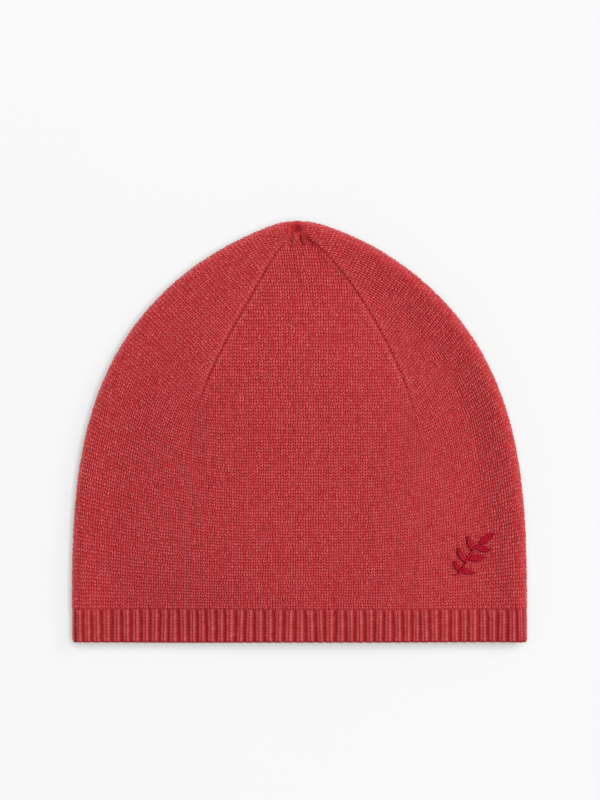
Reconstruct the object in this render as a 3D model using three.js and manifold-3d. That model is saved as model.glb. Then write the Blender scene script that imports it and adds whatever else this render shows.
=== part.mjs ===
// A knitted pull-on beanie, laid flat on its back panel with the front panel up.
// The crown is one plain-knit shell of four gores, narrowed along four shaping lines that meet at the tip.
// A one-by-one ribbed hem closes its open edge, and a small raised sprig is embroidered low on the front.
// Millimetres. +Y runs from the hem to the crown, +Z is up, and the origin is the middle of the
// footprint, on the surface that the beanie lies on.
import * as THREE from "three";
import { mergeVertices } from "three/addons/utils/BufferGeometryUtils.js";
import Module from "manifold-3d";

// Overall sizes of the beanie as it lies flat.
const hemWidth = 235;
const bodyHeight = 217.5;
const ribHeight = 17;
const foldRadius = 6.5; // outside radius of the rolled side folds, half the thickness at the edge

// Knit thicknesses and the rib's corrugation.
const jerseyWall = 2.2;
const ribWall = 3.1; // crest to the far side's crest
const ribGroove = 0.9;
const ribInset = 0.2; // how far the rib's crests lie under the jersey's face
const ribCount = 98;
const hemRound = 1.1; // rounding of the cast-on edge
const pieceGap = 0.3;

// Outline of the crown, a superellipse: 1 - (1 - fall)^crownShoulder = reach^crownPoint, in shares.
const crownShoulder = 3.44;
const crownPoint = 1.45;

// The four shaping lines, seen on the front as two lines that run down from the tip.
const shapingDepth = 125; // how far below the tip they start to narrow the gores
const shapingCurve = 1.6;
const shapingEase = 4; // how slowly they part at the tip
const frontGoreHalf = 62.5; // half the width of the front gore below the shaping
const goreShift = 3.2; // the beanie lies turned by this much, front to the right and back to the left
const goreShiftReach = 55;
const foldStretch = 1.7; // how the courses rise towards the folds
const courseBend = 0.3; // how softly the courses bend at a gore's edge below the shaping
const seamDip = 0.6;
const seamDipReach = 2.5;

// The tip is drawn together just in front of the top fold.
const tipDrop = 3.6;
const tipReach = 14;
const tipSideways = -0.8;
const tipDimple = 1.3;
const tipDimpleReach = 3.2;
const tipRun = 0.85;

// Relief of the front panel over its rolled rim.
const domeRise = 3.6;
const domeStart = 14; // distance in from the fold
const domeEnd = 75;
const rimDip = 0.5;
const rimDipReach = 6;
const hemSag = 0.45; // share of the dome that is lost at the open edge
const hemSagReach = 28;

// The embroidered sprig, low on the wearer's left.
const sprigFromFold = 30; // from the hem's side fold in to the sprig's middle
const sprigUp = 44; // from the hem's edge
const sprigThick = 0.9;
const sprigGap = 0.4; // over the knit's coarse facets
const stemSpan = 14;
const stemWidth = 1.3;
const leafLength = 8.4;
const leafWidth = 3.3;

// Mesh steps.
const crownRows = 26;
const crownRowCrowding = 1.6; // rows crowd towards the tip
const outlineSteps = 400;
const foldAngles = [30, 60, 90]; // degrees round the rolled fold
const goreShares = [0, 0.34, 0.67, 0.93, 1]; // columns from a gore's middle to its edge

// What follows from the sizes.
const halfHem = hemWidth / 2;
const topY = bodyHeight / 2;
const foldArc = (foldRadius * Math.PI) / 2;
const rollSurplus = foldArc - foldRadius;
const frontLine = bodyHeight + rollSurplus; // tip to hem over the fold and down the front
const ribStart = frontLine - ribHeight;
const tipRoll = foldRadius * Math.acos(1 - tipDrop / foldRadius);

const { clamp, smoothstep, degToRad } = THREE.MathUtils;
const bell = (value, reach) => Math.exp(-((value / reach) ** 2));

// The outline from the tip down one side fold to the hem, as points with their run along it.
function traceOutline() {
  const points = [{ x: 0, y: topY, run: 0 }];
  for (let i = 1; i <= outlineSteps; i++) {
    const fall = (i / outlineSteps) ** 2;
    const reach = (1 - (1 - fall) ** crownShoulder) ** (1 / crownPoint);
    const last = points[i - 1];
    const x = halfHem * reach;
    const y = topY - bodyHeight * fall;
    points.push({ x, y, run: last.run + Math.hypot(x - last.x, y - last.y) });
  }
  return points;
}
const outline = traceOutline();
const foldSurplus = outline[outlineSteps].run - frontLine;

function outlinePoint(run) {
  const found = outline.findIndex((point) => point.run >= run);
  const i = found < 0 ? outlineSteps : Math.max(1, found);
  const [a, b] = [outline[i - 1], outline[i]];
  const share = (run - a.run) / (b.run - a.run);
  return { x: a.x + (b.x - a.x) * share, y: a.y + (b.y - a.y) * share };
}

// How far in from the outline a point lies when it is this far from the fold along the cloth.
function rolledIn(distance) {
  if (distance >= foldArc) return distance - rollSurplus;
  return foldRadius * (1 - Math.cos(distance / foldRadius));
}

// Share of a gore's full width that a course has, by its distance from the tip.
function goreShare(fromTip) {
  const tapered = fromTip >= shapingDepth ? 1 : 1 - (1 - fromTip / shapingDepth) ** shapingCurve;
  return (tapered * fromTip) / (fromTip + shapingEase);
}

// One course of the knit, named by its distance from the tip down the middle of the front, on the side
// that the turned beanie widens (lean 1) or narrows (lean -1).
function courseAt(fromTip, lean) {
  const rise = foldSurplus * Math.min(1, fromTip / ribStart) ** foldStretch;
  const middle = lean * goreShift * smoothstep(fromTip, 0, goreShiftReach);
  const edge = { x: middle + frontGoreHalf * goreShare(fromTip), y: topY - rolledIn(fromTip) };
  const fold = outlinePoint(fromTip + rise);
  const reach = Math.hypot(edge.x - fold.x, edge.y - fold.y);
  const sideRun = Math.min(tipRun * fromTip, reach + rollSurplus);
  const bend = courseBend * smoothstep(fromTip, shapingDepth / 2, shapingDepth * 1.3);
  return { fromTip, middle, edge, fold, sideRun, bend };
}

// Where a course passes, at a share from the middle line (0) through the gore's edge (0.5) to the fold (1).
function courseStraight(course, share) {
  const { fromTip, middle, edge, fold, sideRun } = course;
  if (share <= 0.5) {
    const part = 2 * share;
    const x = middle + (edge.x - middle) * part;
    return { x, y: edge.y, inset: fromTip + (sideRun - fromTip) * part ** 2 };
  }
  const inset = sideRun * (2 - 2 * share);
  const part = rolledIn(inset) / Math.max(rolledIn(sideRun), 1e-9);
  return { x: fold.x + (edge.x - fold.x) * part, y: fold.y + (edge.y - fold.y) * part, inset };
}

function coursePoint(course, share) {
  const place = courseStraight(course, share);
  const along = (share - 0.5 + course.bend) / Math.max(2 * course.bend, 1e-9);
  if (along <= 0 || along >= 1) return place;
  const before = courseStraight(course, 0.5 - course.bend);
  const after = courseStraight(course, 0.5 + course.bend);
  const mix = (a, corner, b) => (1 - along) ** 2 * a + 2 * along * (1 - along) * corner + along ** 2 * b;
  place.x = mix(before.x, course.edge.x, after.x);
  place.y = mix(before.y, course.edge.y, after.y);
  return place;
}

// Height of the front panel over its rolled rim, without the shaping lines and the tip.
function frontRelief(inset, aboveHem) {
  const dome = domeRise * smoothstep(inset, domeStart, domeEnd) * (1 - hemSag * bell(aboveHem, hemSagReach));
  return dome - rimDip * bell(inset - domeStart, rimDipReach);
}

// A point of the outer face. Turn runs once round the beanie: 0 the front's middle, 0.25 the right fold,
// 0.5 the back's middle, 0.75 the left fold.
function facePoint(turn, fromTip) {
  const wrapped = turn - Math.floor(turn);
  const hand = wrapped > 0.5 ? -1 : 1;
  const half = hand > 0 ? wrapped : 1 - wrapped;
  const share = 1 - Math.abs(1 - 4 * half);
  const side = half <= 0.25 ? 1 : -1;
  const course = courseAt(fromTip, hand * side);
  const place = coursePoint(course, share);
  const near = bell(fromTip, tipReach);
  const rolled = side * place.inset + tipRoll * near;
  const lift = Math.sin(clamp(rolled / foldRadius, -Math.PI / 2, Math.PI / 2));
  const y = place.y - rolledIn(Math.abs(rolled)) + rolledIn(place.inset);
  let z = foldRadius * (1 + lift);
  if (lift > 0) {
    const fromEdge = Math.abs(share - 0.5) * 2 * (share < 0.5 ? course.edge.x - course.middle : course.sideRun);
    const shaped = 1 - smoothstep(fromTip, shapingDepth * 0.7, shapingDepth);
    const dips = seamDip * shaped * bell(fromEdge, seamDipReach) + tipDimple * bell(fromTip, tipDimpleReach);
    z += lift * (frontRelief(place.inset, y + topY) - dips);
  }
  return new THREE.Vector3(hand * place.x + tipSideways * near, y, z);
}

// The same point sunk under the face by a depth, square to the cloth.
function sunkPoint(turn, fromTip, depth) {
  const point = facePoint(turn, fromTip);
  if (depth === 0) return point;
  const turnStep = 2e-4;
  const tipStep = 0.05;
  const lower = Math.max(fromTip, tipStep);
  const around = facePoint(turn + turnStep, lower).sub(facePoint(turn - turnStep, lower));
  const down = facePoint(turn, lower + tipStep).sub(facePoint(turn, lower - tipStep));
  const outward = down.cross(around).normalize();
  return point.addScaledVector(outward, -depth);
}

// The tip's own point, where every turn meets, sunk along the mean of its outward directions.
function tipPoint(depth) {
  const point = facePoint(0, 0);
  if (depth === 0) return point;
  const mean = new THREE.Vector3();
  for (const turn of [0, 0.125, 0.25, 0.375, 0.5, 0.625, 0.75, 0.875]) {
    mean.add(facePoint(turn, 1).sub(sunkPoint(turn, 1, depth)));
  }
  return point.addScaledVector(mean.normalize(), -depth);
}

// A closed shell from rings of points. Each ring has as many points; a ring of one point is a pole.
function shellOfRings(rings, closed) {
  const vertices = rings.flat();
  const starts = [];
  let count = 0;
  for (const ring of rings) {
    starts.push(count);
    count += ring.length;
  }
  const triangles = [];
  const last = closed ? rings.length : rings.length - 1;
  for (let r = 0; r < last; r++) {
    const [a, b] = [r, (r + 1) % rings.length];
    const wide = Math.max(rings[a].length, rings[b].length);
    for (let i = 0; i < wide; i++) {
      const j = (i + 1) % wide;
      const [a0, a1] = rings[a].length > 1 ? [starts[a] + i, starts[a] + j] : [starts[a], starts[a]];
      const [b0, b1] = rings[b].length > 1 ? [starts[b] + i, starts[b] + j] : [starts[b], starts[b]];
      if (a0 !== a1) triangles.push(a0, a1, b1);
      if (b0 !== b1) triangles.push(a0, b1, b0);
    }
  }
  const geometry = new THREE.BufferGeometry();
  geometry.setAttribute("position", new THREE.Float32BufferAttribute(vertices.flatMap((v) => [v.x, v.y, v.z]), 3));
  geometry.setIndex(triangles);
  return geometry;
}

// Turns of the crown's columns in one quarter, from a gore's middle over its edge to the fold.
function quarterTurns(fromTip, lean) {
  const { sideRun } = courseAt(fromTip, lean);
  const foldPart = Math.min(1, sideRun / (2 * foldArc));
  const turns = goreShares.map((share) => share / 8);
  for (const share of goreShares.slice(1, -1).reverse()) {
    const inset = foldArc * foldPart + (sideRun - foldArc * foldPart) * share;
    turns.push((1 - inset / (2 * sideRun)) / 4);
  }
  for (const angle of [...foldAngles].reverse()) {
    const inset = degToRad(angle) * foldRadius * foldPart;
    turns.push((1 - inset / (2 * sideRun)) / 4);
  }
  return turns;
}

function ringTurns(fromTip) {
  const wide = quarterTurns(fromTip, 1);
  const narrow = quarterTurns(fromTip, -1);
  return [
    ...wide,
    0.25,
    ...narrow.slice(1).map((turn) => 0.5 - turn).reverse(),
    0.5,
    ...wide.slice(1).map((turn) => 0.5 + turn),
    0.75,
    ...narrow.slice(1).map((turn) => 1 - turn).reverse(),
  ];
}

function crownGeometry() {
  const hemEnd = ribStart - pieceGap / 2;
  const levels = [];
  for (let row = crownRows; row > 0; row--) levels.push(hemEnd * (row / crownRows) ** crownRowCrowding);
  const skin = (depth) => levels.map((level) => ringTurns(level).map((turn) => sunkPoint(turn, level, depth)));
  const outer = skin(0);
  const inner = skin(jerseyWall).reverse();
  return shellOfRings([...outer, [tipPoint(0)], [tipPoint(jerseyWall)], ...inner], true);
}

// One rib and its groove as turns across a repeat, with how far each sinks under the crest.
const ribProfile = [
  { across: 0.08, sunk: 0 },
  { across: 0.5, sunk: 0 },
  { across: 0.64, sunk: 1 },
  { across: 0.94, sunk: 1 },
];

function ribHemGeometry() {
  const top = ribStart + pieceGap / 2;
  const end = frontLine;
  const ring = (level, depthOf) => {
    const points = [];
    for (let rib = 0; rib < ribCount; rib++) {
      for (const { across, sunk } of ribProfile) {
        const turn = (rib + across) / ribCount;
        points.push(sunkPoint(turn, level, ribInset + depthOf(sunk)));
      }
    }
    return points;
  };
  const outerDepth = (sunk) => ribGroove * sunk;
  const innerDepth = (sunk) => ribWall - ribGroove * (1 - sunk);
  const edgeDepth = (sunk) => outerDepth(sunk) + hemRound * 0.7;
  return shellOfRings(
    [
      ring(end, (sunk) => innerDepth(sunk) - hemRound * 0.5),
      ring(end, edgeDepth),
      ring(end - hemRound, outerDepth),
      ring(top, outerDepth),
      ring(top, innerDepth),
      ring(end - hemRound, innerDepth),
    ],
    true,
  );
}

// The sprig's stem in its own flat frame, in shares of its span, and its leaves: how far up the stem, which
// hand, the turn away from the stem in degrees, and the size as a share of a full leaf.
const stemPoints = [
  { right: -0.62, up: -0.62 },
  { right: -0.25, up: -0.75 },
  { right: -0.1, up: 0.12 },
  { right: 0.36, up: 0.5 },
];
const stemCurve = new THREE.CubicBezierCurve(
  ...stemPoints.map(({ right, up }) => new THREE.Vector2(right * stemSpan, up * stemSpan)),
);
const sprigLeaves = [
  { up: 1, hand: 1, lean: 4, size: 1 },
  { up: 0.9, hand: 1, lean: 62, size: 0.85 },
  { up: 0.82, hand: -1, lean: 58, size: 0.85 },
  { up: 0.64, hand: 1, lean: 58, size: 0.95 },
  { up: 0.55, hand: -1, lean: 60, size: 0.95 },
  { up: 0.34, hand: 1, lean: 66, size: 0.8 },
  { up: 0.28, hand: -1, lean: 70, size: 0.7 },
];

function leafShape({ up, hand, lean, size }) {
  const base = stemCurve.getPoint(up);
  const tangent = stemCurve.getTangent(up);
  const heading = Math.atan2(tangent.y, tangent.x) - hand * degToRad(lean);
  const at = (along, aside) =>
    base.clone().add(new THREE.Vector2(along, aside).rotateAround(new THREE.Vector2(), heading));
  const length = leafLength * size;
  const belly = leafWidth * size;
  const shape = new THREE.Shape();
  const root = at(-stemWidth / 4, 0);
  const point = at(length, 0);
  shape.moveTo(root.x, root.y);
  const [low, high] = [at(length * 0.42, -belly), at(length * 0.42, belly)];
  shape.quadraticCurveTo(low.x, low.y, point.x, point.y);
  shape.quadraticCurveTo(high.x, high.y, root.x, root.y);
  return shape;
}

function stemShape() {
  const steps = 14;
  const sides = [-1, 1].map((hand) => {
    const points = [];
    for (let i = 0; i <= steps; i++) {
      const up = i / steps;
      const tangent = stemCurve.getTangent(up);
      const half = (hand * stemWidth * (0.7 + 0.3 * up)) / 2;
      points.push(stemCurve.getPoint(up).add(new THREE.Vector2(-tangent.y, tangent.x).multiplyScalar(half)));
    }
    return points;
  });
  return new THREE.Shape([...sides[0], ...sides[1].reverse()]);
}

// Height of the outer face of the front panel low on the beanie, where its sides run straight.
function frontHeight(x, y) {
  const fall = clamp((topY - y) / bodyHeight, 0, 1);
  const half = halfHem * (1 - (1 - fall) ** crownShoulder) ** (1 / crownPoint);
  return 2 * foldRadius + frontRelief(half - Math.abs(x) + rollSurplus, y + topY);
}

const wasm = await Module();
wasm.setup();

function toSolid(geometry) {
  geometry.deleteAttribute("normal");
  geometry.deleteAttribute("uv");
  const merged = mergeVertices(geometry, 1e-4);
  return new wasm.Manifold(
    new wasm.Mesh({
      numProp: 3,
      vertProperties: merged.attributes.position.array,
      triVerts: new Uint32Array(merged.index.array),
    }),
  );
}

function sprigGeometry() {
  const shapes = [stemShape(), ...sprigLeaves.map(leafShape)];
  const pads = shapes.map((shape) =>
    toSolid(new THREE.ExtrudeGeometry(shape, { depth: sprigThick, bevelEnabled: false, curveSegments: 6 })),
  );
  const { vertProperties, triVerts } = pads.reduce((joined, pad) => joined.add(pad)).getMesh();
  const geometry = new THREE.BufferGeometry();
  geometry.setAttribute("position", new THREE.Float32BufferAttribute(vertProperties, 3));
  geometry.setIndex([...triVerts]);
  const position = geometry.attributes.position;
  for (let i = 0; i < position.count; i++) {
    const x = halfHem - sprigFromFold + position.getX(i);
    const y = sprigUp - topY + position.getY(i);
    position.setXYZ(i, x, y, frontHeight(x, y) + sprigGap + position.getZ(i));
  }
  return geometry;
}

const jerseyWool = new THREE.MeshStandardMaterial({ color: 0xb63c3e, roughness: 0.95, metalness: 0 });
const ribWool = new THREE.MeshStandardMaterial({ color: 0xa93838, roughness: 0.95, metalness: 0 });
const satinThread = new THREE.MeshStandardMaterial({ color: 0xab1028, roughness: 0.45, metalness: 0 });

const beanie = new THREE.Group();
const pieces = [
  { name: "crown", geometry: crownGeometry(), material: jerseyWool },
  { name: "rib_hem", geometry: ribHemGeometry(), material: ribWool },
  { name: "embroidered_sprig", geometry: sprigGeometry(), material: satinThread },
];
for (const { name, geometry, material } of pieces) {
  const mesh = new THREE.Mesh(geometry, material);
  mesh.name = name;
  beanie.add(mesh);
}

export default beanie;
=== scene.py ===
"""The knitted beanie as it looks: every stitch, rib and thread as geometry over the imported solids.

The knit's surface is the same parametric one as the solids'. A point of it has four coordinates:
- q: the distance of its course from the tip, down the middle of the front along the cloth;
- share: its place on the course, 0 in the gore's middle, 0.5 at the gore's edge and 1 on the side fold;
- hand: 1 on the right and -1 on the left;
- side: 1 on the front and -1 on the back.
In the knit, k counts wales (columns of stitches) from a gore's middle, and v counts courses from the tip.
Lengths are millimetres until a mesh is made, which is in metres.
"""
import math

import bpy
import numpy as np
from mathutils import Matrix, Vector
from mathutils.bvhtree import BVHTree


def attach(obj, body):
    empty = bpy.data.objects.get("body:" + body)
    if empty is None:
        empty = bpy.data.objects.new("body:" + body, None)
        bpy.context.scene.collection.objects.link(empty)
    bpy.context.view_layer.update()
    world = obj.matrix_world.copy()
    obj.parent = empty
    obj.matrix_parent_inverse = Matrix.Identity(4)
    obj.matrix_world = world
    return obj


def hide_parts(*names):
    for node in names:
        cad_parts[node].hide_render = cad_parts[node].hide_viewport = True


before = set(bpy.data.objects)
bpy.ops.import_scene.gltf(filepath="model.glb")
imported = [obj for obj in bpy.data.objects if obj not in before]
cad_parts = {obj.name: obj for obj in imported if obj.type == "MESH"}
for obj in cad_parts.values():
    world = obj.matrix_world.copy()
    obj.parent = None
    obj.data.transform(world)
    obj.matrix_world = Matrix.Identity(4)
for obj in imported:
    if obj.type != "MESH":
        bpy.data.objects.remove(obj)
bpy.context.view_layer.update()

MM = 0.001
TINY = 1e-9  # keeps a division from failing
NUDGE = 1e-6  # keeps a whole number from being rounded down

# Sizes of the solids
HEM_HALF, HEIGHT, RIB_HEIGHT = 117.5, 217.5, 17.0
FOLD_R = 6.5  # outside radius of the rolled side folds
WALL, RIB_WALL = 2.2, 3.1
SHOULDER, POINT = 3.44, 1.45  # the outline's superellipse
SHAPING_DEPTH, SHAPING_CURVE, SHAPING_EASE = 125.0, 1.6, 4.0
GORE_HALF = 62.5
GORE_SHIFT, GORE_SHIFT_REACH = 3.2, 55.0  # the front lies this far to the right, the back to the left
FOLD_STRETCH = 1.7  # how the courses rise towards the folds
COURSE_BEND = 0.3  # how softly the courses bend at a gore's edge below the shaping
BEND_STARTS = (SHAPING_DEPTH / 2, SHAPING_DEPTH * 1.3)
TIP_DROP, TIP_REACH, TIP_RUN = 3.6, 14.0, 0.85
DOME_RISE, DOME_START, DOME_END = 3.6, 14.0, 75.0
RIM_DIP, RIM_DIP_REACH = 0.5, 6.0
HEM_SAG, HEM_SAG_REACH = 0.45, 28.0

# What follows from these sizes
TOP_Y = HEIGHT / 2
FOLD_ARC = FOLD_R * math.pi / 2
ROLL_SURPLUS = FOLD_ARC - FOLD_R
FRONT_LINE = HEIGHT + ROLL_SURPLUS
RIB_START = FRONT_LINE - RIB_HEIGHT
TIP_ROLL = FOLD_R * math.acos(1 - TIP_DROP / FOLD_R)
TIP_Y = TOP_Y - TIP_DROP
TIP_Z = FOLD_R * (1 + math.sin(TIP_ROLL / FOLD_R))

# The hollow beside each side fold, on the front
HOLLOW_RIGHT, HOLLOW_LEFT = 4.6, 2.4
HOLLOW_EDGE, HOLLOW_FLOOR, HOLLOW_END = 8.0, 27.0, 85.0  # distances in from the fold
HOLLOW_FILLED = 0.6  # the share of its depth that is made up again at its end
HOLLOW_DEEPEST, HOLLOW_LENGTH = 140.0, 65.0  # the q where it is deepest, and its reach from there
HOLLOW_LEAST = 0.6  # the share of its depth that it keeps far from there
HOLLOW_STARTS = (8.0, 50.0)  # the values of q between which it sets in
HOLLOW_MEET = 0.4  # up to this share of a gore, right and left blend into each other
SOFTENED = 6.0  # how softly the distances from the side fold and from the top fold blend

# A shallow hollow above the rib, low on the left of the front
HEM_HOLLOW_X, HEM_HOLLOW_WIDE = -64.0, 40.0
HEM_HOLLOW_Y, HEM_HOLLOW_TALL = -98.0, 21.0
HEM_HOLLOW_DEPTH = 4.5
HEM_HOLLOW_STARTS = (5.0, 20.0)  # distances in from the fold

# The drawn-in tip, with a dimple, puffed cloth round it and a flatter fold above it
TIP_SIDEWAYS = -1.4
TIP_DIMPLE, TIP_DIMPLE_REACH = 2.8, 2.4
HUMP_RISE, HUMP_REACH, HUMP_HOLE = 1.1, 17.0, 2.2
HUMP_HOLE_REACH = HUMP_REACH / 4
HUMP_STARTS = (-1.4, -0.6)  # angles round the top fold, in radians from its outermost line
TOP_FLAT, TOP_FLAT_REACH, TOP_FLAT_ANGLE = 0.5, 3.5, 0.6

# The shaping lines, each a groove between two raised wales
SEAM_DIP, SEAM_DIP_REACH = 0.5, 0.6
SEAM_RIDGE, SEAM_RIDGE_AT, SEAM_RIDGE_REACH = 0.25, 2.0, 1.1
SEAM_STARTS = (10.0, 35.0)
SEAM_ENDS = (SHAPING_DEPTH * 0.65, SHAPING_DEPTH * 0.85)
SEAM_RIGHT, SEAM_LEFT = 0.65, 0.85  # how strong the front's right and left lines are

# Creases that run from the tip: x and y of the start and of the end, the half width and the depth
CREASES = [
    (-3.2, 104.0, -5.4, 94.0, 0.8, 1.3),
    (-0.4, 102.0, 2.0, 94.0, 0.8, 1.3),
    (2.0, 102.0, 9.5, 92.0, 0.9, 0.7),
    (-1.0, 104.5, 18.5, 82.5, 3.2, 0.8),
    (16.0, 86.0, 31.0, 66.0, 2.2, 0.6),
    (-5.0, 104.0, -10.0, 99.0, 0.8, 0.7),
    (4.0, 105.0, 13.0, 99.5, 0.9, 0.6),
]
CREASE_STARTS, CREASE_ENDS = (-0.1, 0.25), (0.5, 1.1)  # shares of a crease's length

# The knit
FRONT, RIGHT, BACK, LEFT = range(4)
GORE_WALES = 49
HALF_WALES = GORE_WALES / 2
WALE_SPREAD = 0.055  # the wales in the middle of the front are wider by this share
COURSE_TOP, COURSE_HEM = 1.87, 1.37  # course spacing down the middle line
COURSE_LOSS = (COURSE_TOP - COURSE_HEM) / RIB_START
STITCH_DEPTH = 0.8


def smooth(x, low, high):
    """A step from 0 at low to 1 at high, soft at both ends."""
    t = np.clip((x - low) / (high - low), 0, 1)
    return t * t * (3 - 2 * t)


def bell(x, reach):
    """A bell curve with the height 1."""
    return np.exp(-((x / reach) ** 2))


# The surface of the folded cloth

OUT_FALL = np.linspace(0, 1, 3001) ** 2  # how far down the height the outline's points lie
OUT_X = HEM_HALF * (1 - (1 - OUT_FALL) ** SHOULDER) ** (1 / POINT)
OUT_Y = TOP_Y - HEIGHT * OUT_FALL
OUT_RUN = np.concatenate([[0], np.cumsum(np.hypot(np.diff(OUT_X), np.diff(OUT_Y)))])
FOLD_SURPLUS = OUT_RUN[-1] - FRONT_LINE


def rolled_in(distance):
    """How far in from a fold's outermost line a point is seen, this far along the cloth from it."""
    bent = FOLD_R * (1 - np.cos(np.minimum(distance, FOLD_ARC) / FOLD_R))
    return np.where(distance >= FOLD_ARC, distance - ROLL_SURPLUS, bent)


def gore_share(q):
    """The front gore's width at a course, as a share of its full width."""
    tapered = 1 - (1 - np.minimum(q / SHAPING_DEPTH, 1)) ** SHAPING_CURVE
    return tapered * q / (q + SHAPING_EASE)


def course(q, lean):
    """A course seen flat: the gore's middle and edge (ex, ey), the fold (fx, fy) and the run between them."""
    rise = FOLD_SURPLUS * np.minimum(1, q / RIB_START) ** FOLD_STRETCH
    middle = lean * GORE_SHIFT * smooth(q, 0, GORE_SHIFT_REACH)
    edge_x = middle + GORE_HALF * gore_share(q)
    edge_y = TOP_Y - rolled_in(q)
    fold_x = np.interp(q + rise, OUT_RUN, OUT_X)
    fold_y = np.interp(q + rise, OUT_RUN, OUT_Y)
    side_run = np.minimum(TIP_RUN * q, np.hypot(edge_x - fold_x, edge_y - fold_y) + ROLL_SURPLUS)
    bend = COURSE_BEND * smooth(q, *BEND_STARTS)
    return dict(q=q, middle=middle, ex=edge_x, ey=edge_y, fx=fold_x, fy=fold_y, run=side_run, bend=bend)


def straight(c, share):
    """A point of a course with a sharp corner at the gore's edge, and its distance from the fold."""
    part = np.clip(2 * share, 0, 1)
    inset_low = c["q"] + (c["run"] - c["q"]) * part**2
    inset_high = c["run"] * np.clip(2 - 2 * share, 0, 1)
    away = rolled_in(inset_high) / np.maximum(rolled_in(c["run"]), TINY)
    low = share <= 0.5
    x = np.where(low, c["middle"] + (c["ex"] - c["middle"]) * part, c["fx"] + (c["ex"] - c["fx"]) * away)
    y = np.where(low, c["ey"], c["fy"] + (c["ey"] - c["fy"]) * away)
    return x, y, np.where(low, inset_low, inset_high)


def rounded(c, share):
    """A point of a course with the corner at the gore's edge rounded, and its distance from the fold."""
    x, y, inset = straight(c, share)
    bend = c["bend"]
    t = np.clip((share - 0.5 + bend) / np.maximum(2 * bend, TINY), 0, 1)
    ax, ay, _ = straight(c, 0.5 - bend)
    bx, by, _ = straight(c, 0.5 + bend)
    in_bend = (bend > 1e-6) & (t > 0) & (t < 1)
    x = np.where(in_bend, (1 - t) ** 2 * ax + 2 * t * (1 - t) * c["ex"] + t**2 * bx, x)
    y = np.where(in_bend, (1 - t) ** 2 * ay + 2 * t * (1 - t) * c["ey"] + t**2 * by, y)
    return x, y, inset


def depth_in(c, share, inset):
    """The distance in from the folds, smooth where gores meet and where the top fold is the nearer one."""
    beyond = np.where(share < 0.5, np.abs(c["ex"] - c["middle"]) * (1 - np.clip(2 * share, 0, 1)), 0)
    reached = np.where(share < 0.5, c["run"] + beyond, inset)
    return -SOFTENED * np.log(np.exp(-reached / SOFTENED) + np.exp(-c["q"] / SOFTENED))


def side_hollow(share, q, hand, side, deep):
    """How deep the hollow beside a side fold is."""
    mean = (HOLLOW_RIGHT + HOLLOW_LEFT) / 2
    own = np.where(hand * side > 0, HOLLOW_RIGHT, HOLLOW_LEFT)
    depth = mean + (own - mean) * smooth(share, 0, HOLLOW_MEET)
    along = HOLLOW_LEAST + (1 - HOLLOW_LEAST) * bell(q - HOLLOW_DEEPEST, HOLLOW_LENGTH)
    sunk = smooth(deep, HOLLOW_EDGE, HOLLOW_FLOOR) - HOLLOW_FILLED * smooth(deep, HOLLOW_FLOOR, HOLLOW_END)
    return np.where(side > 0, depth * smooth(q, *HOLLOW_STARTS) * along * sunk, 0)


def seam_groove(c, share, q, turn):
    """How deep a shaping line's groove is, below zero on the raised wales beside it."""
    from_edge = np.abs(share - 0.5) * 2 * np.where(share < 0.5, c["ex"] - c["middle"], c["run"])
    groove = SEAM_DIP * bell(from_edge, SEAM_DIP_REACH)
    ridge = SEAM_RIDGE * bell(from_edge - SEAM_RIDGE_AT, SEAM_RIDGE_REACH)
    strength = np.where(turn > 0, SEAM_RIGHT, SEAM_LEFT)
    return strength * (1 - smooth(q, *SEAM_ENDS)) * (groove - ridge) * smooth(q, *SEAM_STARTS)


def creased(x, y):
    """How deep the creases of the front are at a point."""
    total = 0
    for x1, y1, x2, y2, width, depth in CREASES:
        dx, dy = x2 - x1, y2 - y1
        t = ((x - x1) * dx + (y - y1) * dy) / (dx**2 + dy**2)
        on_line = np.clip(t, 0, 1)
        aside = np.hypot(x - x1 - on_line * dx, y - y1 - on_line * dy)
        total = total + depth * smooth(t, *CREASE_STARTS) * (1 - smooth(t, *CREASE_ENDS)) * bell(aside, width)
    return total


def puffed(x, y, z, inset, turned):
    """How far the cloth stands out round the tip. The hollow, the creases and the flat top are taken off."""
    away = np.hypot(np.hypot(x - TIP_SIDEWAYS, y - TIP_Y), z - TIP_Z)
    hump = HUMP_RISE * bell(away, HUMP_REACH) * (1 - HUMP_HOLE * bell(away, HUMP_HOLE_REACH))
    hollow = bell(x - HEM_HOLLOW_X, HEM_HOLLOW_WIDE) * bell(y - HEM_HOLLOW_Y, HEM_HOLLOW_TALL)
    hollow = HEM_HOLLOW_DEPTH * hollow * smooth(inset, *HEM_HOLLOW_STARTS)
    flat = TOP_FLAT * bell(x - TIP_SIDEWAYS, TOP_FLAT_REACH) * bell(turned, TOP_FLAT_ANGLE)
    creases = creased(x, y) * np.sin(np.maximum(turned, 0))
    return hump * smooth(turned, *HUMP_STARTS) - np.where(turned > 0, hollow, 0) - creases - flat


def face(share, q, hand, side):
    """Points of the cloth's outer face."""
    c = course(q, hand * side)
    x, y, inset = rounded(c, share)
    deep = depth_in(c, share, inset)
    near = bell(q, TIP_REACH)
    rolled = side * inset + TIP_ROLL * near
    turned = np.clip(rolled / FOLD_R, -math.pi / 2, math.pi / 2)
    lift = np.sin(turned)
    y = y - rolled_in(np.abs(rolled)) + rolled_in(inset)
    dome = DOME_RISE * smooth(deep, DOME_START, DOME_END) * (1 - HEM_SAG * bell(y + TOP_Y, HEM_SAG_REACH))
    relief = dome - RIM_DIP * bell(deep - DOME_START, RIM_DIP_REACH) - side_hollow(share, q, hand, side, deep)
    dips = seam_groove(c, share, q, hand * side) + TIP_DIMPLE * bell(q, TIP_DIMPLE_REACH)
    z = FOLD_R * (1 + lift) + np.maximum(lift, 0) * (relief - dips)
    x = hand * x + TIP_SIDEWAYS * near
    puff = puffed(x, y, z, inset, turned)
    return np.stack([x, y + puff * np.cos(turned), z + puff * np.sin(turned)], -1)


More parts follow.
